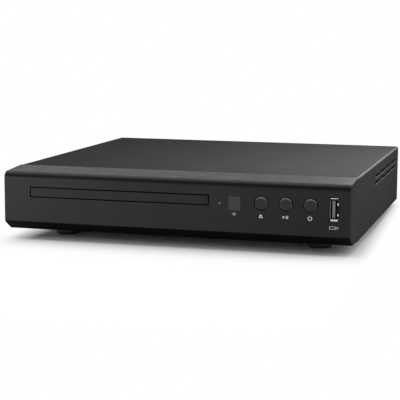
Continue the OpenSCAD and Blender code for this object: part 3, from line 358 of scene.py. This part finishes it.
def board(name, color, track):
    """Lacquered laminate with copper tracks under the lacquer."""
    g = Graph(name)
    brick = g.add("ShaderNodeTexBrick", Scale=1.0, offset=0.5)
    pattern = {
        "Color1": (*color, 1.0), "Color2": (*shade(color, 1.15), 1.0), "Mortar": (*track, 1.0),
        "Mortar Size": 0.00022, "Brick Width": 0.0075, "Row Height": 0.0021,
    }
    for socket, value in pattern.items():
        brick.inputs[socket].default_value = value
    g.link(g.where(), brick.inputs["Vector"])
    g.feed(Base_Color=brick.outputs["Color"], Roughness=g.span(g.noise(300.0), 0.25, 0.4))
    g.set(Coat_Weight=0.4, Coat_Roughness=0.15)
    return g.mat


def mixed_parts(name, light):
    """One piece made of several small parts, whose tones differ by the cell of a pattern they stand in."""
    g = Graph(name)
    base = g.tones(g.cells(70.0)["Green"], (0.02, 0.02, 0.03), light)
    fine = g.bump(g.noise(1200.0), 0.00002, strength=0.5)
    g.feed(Base_Color=base, Roughness=g.span(g.noise(300.0), 0.3, 0.5), Normal=fine)
    return g.mat


def leads(name, color, across, pitch):
    """A flat ribbon of leads side by side, whose lines run along its length."""
    g = Graph(name)
    scale = math.pi / pitch / 10.0  # the bands of a wave texture of scale 1 are a tenth of pi apart
    wave = g.add("ShaderNodeTexWave", wave_type="BANDS", bands_direction=across, Scale=scale)
    g.link(g.where(), wave.inputs["Vector"])
    lines = wave.outputs["Fac"]
    base = g.tones(lines, shade(color, 0.72), shade(color, 1.08))
    ridges = g.bump(lines, 0.0002, strength=0.5)
    g.feed(Base_Color=base, Roughness=g.span(g.noise(400.0), 0.35, 0.5), Normal=ridges)
    return g.mat


def lens_glass(name):
    """Coated glass with a bluish tint."""
    g = Graph(name)
    tint = g.tones(g.noise(200.0), (0.55, 0.66, 0.95), (0.62, 0.72, 1.0))
    g.feed(Base_Color=tint, Roughness=g.span(g.noise(300.0), 0.02, 0.06))
    g.set(Transmission_Weight=0.85, IOR=1.5, Coat_Weight=0.6)
    return g.mat


def middle(node):
    """The middle of a node's box in X and Z."""
    low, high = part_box(node)
    return (low[0] + high[0]) / 2, (low[2] + high[2]) / 2


LED_GLOW, LED_DIM = 0.0004, 0.0012  # the glow is full as far out as the first, and faint past the second


def led(name):
    """A red moulding that glows palely at its middle and hardly at its rim."""
    g = Graph(name)
    x, z = middle("indicator_led")
    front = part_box("indicator_led")[0][1]
    away = g.add("ShaderNodeVectorMath", operation="DISTANCE")
    g.link(g.where(), away.inputs[0])
    away.inputs[1].default_value = (x, front, z)
    near = g.span(away.outputs["Value"], 1.0, 0.0, start=LED_GLOW, end=LED_DIM)
    base = g.tones(near, (0.06, 0.006, 0.006), (0.14, 0.045, 0.045))
    glow = g.tones(near, (0.06, 0.001, 0.001), (0.15, 0.03, 0.03))
    g.feed(Base_Color=base, Roughness=g.span(g.noise(400.0), 0.25, 0.35), Emission_Color=glow)
    g.set(Emission_Strength=1.0, Coat_Weight=0.3)
    return g.mat


RIM_HIGHLIGHT_FULL, RIM_HIGHLIGHT_END = 0.00036, 0.00052  # the painted highlight on the rim is full as far in as the first, and gone past the second
SPRING_X, SPRING_Z = 0.0018, 0.0035  # the springs' places, from the middle of the shell
SPRING_HALF = 0.0008  # half a spring's height
SOFT_EDGE = 0.0001


def socket_metal(name):
    """Plated steel with a painted highlight along the upper and lower rim, stronger on the upper one, and on
    its two springs, and painted shade, a far darker tone, elsewhere.
    """
    g = Graph(name)
    low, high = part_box("usb_shell")
    x_middle, z_middle = middle("usb_shell")
    place = g.axes()
    off = g.math("ABSOLUTE", g.math("SUBTRACT", place["Z"], z_middle))
    half = (high[2] - low[2]) / 2
    on_rim = g.span(off, 0.0, 1.0, start=half - RIM_HIGHLIGHT_END, end=half - RIM_HIGHLIGHT_FULL)
    upper = g.span(place["Z"], 0.6, 1.0, start=z_middle - 0.001, end=z_middle + 0.001)
    from_spring = g.math("ABSOLUTE", g.math("SUBTRACT", off, SPRING_Z))
    at_height = g.span(from_spring, 1.0, 0.0, start=SPRING_HALF, end=SPRING_HALF + SOFT_EDGE)
    across = x_middle + SPRING_X
    at_side = g.span(place["X"], 0.0, 1.0, start=across, end=across + SOFT_EDGE)
    # painted highlights on the rim and the springs, over a steel tone darkened as painted shade everywhere
    # else
    painted_highlights = g.math("MAXIMUM", g.math("MULTIPLY", on_rim, upper), g.math("MULTIPLY", at_height, at_side))
    shaded_steel = g.tones(g.noise(500.0, detail=4.0), shade(BRIGHT_STEEL, 0.2), shade(BRIGHT_STEEL, 0.28))
    base = g.blend(painted_highlights, shaded_steel, BRIGHT_STEEL)
    g.feed(Base_Color=base, Roughness=g.span(g.noise(500.0, detail=4.0), 0.2, 0.36))
    g.set(Metallic=1.0)
    return g.mat


# Nodes that look the same share a row. Each gets a material of its own.
LOOKS = {
    "front_panel": (plastic, dict(color=BLACK_FACE, rough=0.44, level=0.11, edges=0.35, side_grain=0.45,
                                  folds=0.62)),
    "tray_fascia": (plastic, dict(color=BLACK_FACE, rough=0.4, level=0.11, edges=0.3)),
    "top_cover rear_panel": (coat, {}),
    "chassis_pan clamper_bridge traverse_plate": (zinc, {}),
    "cover_screws": (metal, dict(color=(0.06, 0.06, 0.062), rough=0.4)),
    "foot_front_left foot_front_right foot_rear_left foot_rear_right": (rubber, {}),
    "ir_window": (plastic, dict(color=(0.024, 0.022, 0.0255), rough=0.2, level=0.4, grain=0.000004)),
    "ir_receiver": (plastic, dict(color=(0.015, 0.015, 0.02), rough=0.15)),
    "indicator_led": (led, {}),
    "usb_shell": (socket_metal, {}),
    "usb_tongue": (plastic, dict(color=(0.2, 0.2, 0.205), rough=0.4)),
    "front_board main_board": (board, GREEN_BOARD),
    "button_switches": (plastic, dict(color=(0.14, 0.14, 0.145), rough=0.4)),
    "eject_button play_button power_button": (button, {}),
    "disc_tray": (plastic, dict(color=(0.02, 0.02, 0.021), rough=0.48, grain=0.00004, grain_scale=1800.0,
                                edges=0.25)),
    "loader_frame": (plastic, dict(color=BLACK_INSIDE, rough=0.5, grain=0.00004, edges=0.2)),
    "traverse_frame": (plastic, dict(color=BLACK_INSIDE, rough=0.5, edges=0.2)),
    "traverse_dampers": (rubber, dict(color=(0.03, 0.05, 0.11), rough=0.55)),
    "inner_screws": (metal, dict(color=(0.6, 0.6, 0.58), rough=0.3)),
    "clamper_puck": (plastic, dict(color=(0.74, 0.74, 0.71), rough=0.4)),
    "clamper_magnet": (metal, dict(color=(0.42, 0.42, 0.43), rough=0.35)),
    "tray_motor spindle_motor feed_motor": (metal, dict(color=BRIGHT_STEEL, rough=0.28)),
    "motor_pulley": (plastic, dict(color=(0.74, 0.74, 0.7), rough=0.4)),
    "drive_belt": (rubber, dict(color=(0.01, 0.01, 0.01), rough=0.6)),
    "belt_wheel drive_gear": (plastic, dict(color=(0.76, 0.74, 0.64), rough=0.42)),
    "cam_slider": (plastic, dict(color=(0.64, 0.62, 0.54), rough=0.42)),
    "turntable": (plastic, dict(color=(0.03, 0.03, 0.032), rough=0.45)),
    "guide_rods": (metal, dict(color=(0.72, 0.72, 0.73), rough=0.14)),
    "feed_screw": (metal, dict(color=(0.7, 0.7, 0.71), rough=0.22, brush=(1.0, 12.0, 1.0))),
    "pickup_sled": (metal, dict(color=(0.4, 0.41, 0.42), rough=0.5)),
    "lens_holder": (plastic, dict(color=(0.012, 0.012, 0.014), rough=0.35)),
    "objective_lens": (lens_glass, {}),
    "pickup_flex": (leads, dict(color=(0.72, 0.6, 0.36), across="X", pitch=0.001)),
    "decoder_chip": (plastic, dict(color=(0.02, 0.02, 0.022), rough=0.5, grain=0.00003)),
    "main_board_parts": (mixed_parts, dict(light=(0.09, 0.09, 0.1))),
    "hdmi_socket": (metal, dict(color=(0.66, 0.67, 0.68), rough=0.24)),
    "video_jack": (plastic, dict(color=(0.76, 0.5, 0.05), rough=0.3)),
    "audio_jack_left": (plastic, dict(color=(0.76, 0.76, 0.73), rough=0.3)),
    "audio_jack_right": (plastic, dict(color=(0.52, 0.025, 0.02), rough=0.3)),
    "coaxial_jack": (plastic, dict(color=(0.68, 0.2, 0.025), rough=0.3)),
    "power_board": (board, dict(color=(0.42, 0.25, 0.09), track=(0.3, 0.15, 0.05))),
    "power_transformer": (plastic, dict(color=(0.66, 0.56, 0.09), rough=0.35)),
    "power_board_parts": (mixed_parts, dict(light=(0.12, 0.1, 0.09))),
    "mains_inlet": (plastic, dict(color=(0.014, 0.014, 0.015), rough=0.42, edges=0.2)),
    "inlet_pins": (metal, dict(color=(0.72, 0.6, 0.34), rough=0.22)),
    "front_ribbon": (leads, dict(color=(0.66, 0.66, 0.69), across="X", pitch=0.00125)),
    "loader_ribbon": (leads, dict(color=(0.74, 0.7, 0.56), across="Y", pitch=0.001)),
    "power_ribbon": (leads, dict(color=(0.5, 0.03, 0.02), across="Y", pitch=0.0015)),
}


def dress():
    """Gives every node its material."""
    for names, (make, values) in LOOKS.items():
        for name in names.split():
            mat = make("look_" + name, **values)
            piece = nodes[name]
            if not piece.material_slots:
                piece.data.materials.append(mat)
            for slot in piece.material_slots:
                slot.material = mat


# ---------------------------------------------------------------- printed signs

FACE_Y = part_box("front_panel")[0][1]
INK = 0.00006  # how far the ink stands out from the face, and reaches into it
INK_BUTTONS = (0.62, 0.62, 0.63)
INK_RECEIVER = (0.4, 0.4, 0.41)
INK_SOCKET = (0.5, 0.5, 0.51)


def sign(name, outlines, center, color):
    """Thin printed shapes on the front panel. outlines are polygons in X and Z, in mm from center."""
    mesh = bpy.data.meshes.new(name)
    bm = bmesh.new()
    for points in outlines:
        front = [bm.verts.new((center[0] + x * MM, FACE_Y - INK, center[1] + z * MM)) for x, z in points]
        back = [bm.verts.new((v.co.x, FACE_Y + INK, v.co.z)) for v in front]
        bm.faces.new(front)
        bm.faces.new(list(reversed(back)))
        for i in range(len(points)):
            j = (i + 1) % len(points)
            bm.faces.new((front[j], front[i], back[i], back[j]))
    bmesh.ops.recalc_face_normals(bm, faces=bm.faces)
    bm.to_mesh(mesh)
    bm.free()
    piece = bpy.data.objects.new(name, mesh)
    scene.collection.objects.link(piece)
    g = Graph("ink_" + name)
    tint = g.tones(g.noise(2500.0), shade(color, 0.88), shade(color, 1.05))
    g.feed(Base_Color=tint, Roughness=g.span(g.noise(900.0), 0.5, 0.65))
    mesh.materials.append(g.mat)
    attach(piece, "case")


def arc(radius, width, start, end, count=18):
    """A stroke along an arc, from one angle in degrees to another, as quads."""
    inner, outer = radius - width / 2, radius + width / 2
    quads = []
    for i in range(count):
        a, b = (math.radians(start + (end - start) * k / count) for k in (i, i + 1))
        corners = ((inner, a), (outer, a), (outer, b), (inner, b))
        quads.append([(r * math.cos(angle), r * math.sin(angle)) for r, angle in corners])
    return quads


def rect(x0, x1, z0, z1):
    return [(x0, z0), (x1, z0), (x1, z1), (x0, z1)]


EJECT = [
    [(-1.3, -0.25), (1.3, -0.25), (0.0, 1.3)],
    rect(-1.3, 1.3, -1.25, -0.7),
]
PLAY_PAUSE = [
    [(-1.9, -1.0), (-0.3, 0.0), (-1.9, 1.0)],
    rect(0.3, 0.8, -1.0, 1.0),
    rect(1.2, 1.7, -1.0, 1.0),
]
STANDBY = arc(1.25, 0.5, 125, 415) + [rect(-0.22, 0.22, 0.35, 1.6)]
RECEIVER = arc(0.75, 0.35, 20, 160, 8) + arc(1.5, 0.35, 25, 155, 10) + [rect(-0.3, 0.3, -0.45, 0.15)]
MEMORY_STICK = [
    rect(-3.0, -2.7, -1.0, 1.0), rect(0.7, 1.0, -1.0, 1.0),
    rect(-2.7, 0.7, 0.7, 1.0), rect(-2.7, 0.7, -1.0, -0.7),
    rect(1.0, 2.75, 0.3, 0.6), rect(1.0, 2.75, -0.6, -0.3), rect(2.45, 2.75, -0.3, 0.3),
]

# name, outlines, the node above it, its shift to the right of that node's middle, its height, its colour
SIGNS = (
    ("eject_sign", EJECT, "eject_button", -0.0002, 0.0243, INK_BUTTONS),
    ("play_pause_sign", PLAY_PAUSE, "play_button", -0.0001, 0.0243, INK_BUTTONS),
    ("standby_sign", STANDBY, "power_button", -0.0004, 0.0243, INK_BUTTONS),
    ("receiver_sign", RECEIVER, "ir_window", 0.0, 0.024, INK_RECEIVER),
    ("memory_stick_sign", MEMORY_STICK, "usb_tongue", 0.0, 0.0188, INK_SOCKET),
)


def print_signs():
    for name, outlines, node, shift, height, color in SIGNS:
        sign(name, outlines, (middle(node)[0] + shift, height), color)


# ---------------------------------------------------------------- studio

FLOOR_REACH = 6.0  # from the middle to each edge
FLOOR_DROP = 0.0001
# Where the floor goes over from taking the shadow to plain white:
WHITE_AROUND = (0.15, 0.36)  # by the distance from the middle
WHITE_RIGHT = (-0.001, 0.0085)  # past the right side
WHITE_LEFT = (-0.018, 0.008)  # past the left side
RIGHT_LEAN = 0.04  # the edge on the right comes in by this much for each metre towards the back
WORLD_STRENGTH = 0.45

# name, place, target, size, watts, the pieces that it lights alone, or none where it lights everything
LAMPS = (
    ("overhead_lamp", (-0.15, 0.05, 1.5), (0.0, 0.0, 0.0), (1.5, 1.5), 15.0, ()),
    ("front_lamp", (-1.5, -1.2, 0.7), (-0.1, 0.0, 0.02), (1.0, 1.0), 6.5, ()),
    ("strip_lamp", (0.188, -0.02, 0.26), (0.188, -0.02, 0.0), (0.1, 0.3), 3.55, ("top_cover",)),
    ("rim_lamp", (0.15, 0.9, 0.25), (0.05, -0.12, 0.045), (0.3, 0.3), 3.0, ("front_panel",)),
    ("face_lamp", (-0.35, -0.4, 0.15), (-0.1, -0.12, 0.02), (0.2, 0.2), 2.2, ("front_panel", "tray_fascia")),
    ("floor_lamp", (1.3, 0.1, 0.9), (0.25, 0.0, 0.0), (0.9, 0.9), 4.0, ("floor",)),
)


def seen_directly(tree):
    """1 for rays from the camera, and for those that gloss and glass send on, so these show white too."""
    path = tree.nodes.new("ShaderNodeLightPath")
    total = path.outputs["Is Camera Ray"]
    for kind in ("Is Glossy Ray", "Is Transmission Ray"):
        most = tree.nodes.new("ShaderNodeMath")
        most.operation = "MAXIMUM"
        tree.links.new(total, most.inputs[0])
        tree.links.new(path.outputs[kind], most.inputs[1])
        total = most.outputs["Value"]
    return total


def mix_shaders(tree, share, first, second):
    """The second shader over the first by its share."""
    mix = tree.nodes.new("ShaderNodeMixShader")
    for source, socket in zip((share, first, second), mix.inputs):
        tree.links.new(source, socket)
    return mix.outputs["Shader"]


def make_floor():
    """A pale floor that takes the shadow near the player and is plain white further off."""
    mesh = bpy.data.meshes.new("floor")
    bm = bmesh.new()
    bmesh.ops.create_grid(bm, x_segments=4, y_segments=4, size=FLOOR_REACH)
    bm.to_mesh(mesh)
    bm.free()
    floor = bpy.data.objects.new("floor", mesh)
    floor.location.z = -FLOOR_DROP
    scene.collection.objects.link(floor)
    g = Graph("floor")
    g.set(Base_Color=(0.97, 0.97, 0.97, 1.0), Roughness=0.95, Specular_IOR_Level=0.0)
    place = g.axes()
    reach = g.add("ShaderNodeVectorMath", operation="LENGTH")
    g.link(g.where(), reach.inputs[0])
    around = g.span(reach.outputs["Value"], 0.0, 1.0, *WHITE_AROUND)
    leaning = g.math("ADD", place["X"], g.math("MULTIPLY", place["Y"], RIGHT_LEAN))
    right = g.span(leaning, 0.0, 1.0, *(cad_box[1][0] + past for past in WHITE_RIGHT))
    leftward = g.math("MULTIPLY", place["X"], -1.0)
    left = g.span(leftward, 0.0, 1.0, *(past - cad_box[0][0] for past in WHITE_LEFT))
    white = g.math("MAXIMUM", g.math("MAXIMUM", around, right), left)
    share = g.math("MULTIPLY", white, seen_directly(g.tree))
    glow = g.add("ShaderNodeEmission", Color=WHITE, Strength=1.0)
    surface = mix_shaders(g.tree, share, g.shader.outputs["BSDF"], glow.outputs["Emission"])
    g.link(surface, g.tree.nodes["Material Output"].inputs["Surface"])
    mesh.materials.append(g.mat)
    return floor


def make_world():
    """Soft light all round, which shows as plain white."""
    world = bpy.data.worlds.new("world")
    scene.world = world
    world.use_nodes = True
    tree = world.node_tree
    tree.nodes.clear()
    lights = []
    for strength in (WORLD_STRENGTH, 1.0):
        light = tree.nodes.new("ShaderNodeBackground")
        light.inputs["Color"].default_value = WHITE
        light.inputs["Strength"].default_value = strength
        lights.append(light.outputs["Background"])
    out = tree.nodes.new("ShaderNodeOutputWorld")
    tree.links.new(mix_shaders(tree, seen_directly(tree), *lights), out.inputs["Surface"])


def area_lamp(name, place, target, size, watts, receivers):
    """A soft lamp that lights its receivers alone, or everything where it has none."""
    data = bpy.data.lights.new(name, "AREA")
    data.shape = "RECTANGLE"
    data.size, data.size_y = size
    data.energy = watts
    lamp = bpy.data.objects.new(name, data)
    lamp.location = place
    lamp.rotation_euler = (Vector(target) - Vector(place)).to_track_quat("-Z", "Y").to_euler()
    lamp.visible_camera = False
    scene.collection.objects.link(lamp)
    if receivers:
        chosen = bpy.data.collections.new(name + "_receivers")
        for piece in receivers:
            chosen.objects.link(piece)
        lamp.light_linking.receiver_collection = chosen


def studio():
    pieces = {**nodes, "floor": make_floor()}
    make_world()
    for name, place, target, size, watts, lit in LAMPS:
        area_lamp(name, place, target, size, watts, [pieces[piece] for piece in lit])


make_camera()
dress()
print_signs()
studio()
scene.view_settings.view_transform = "Standard"
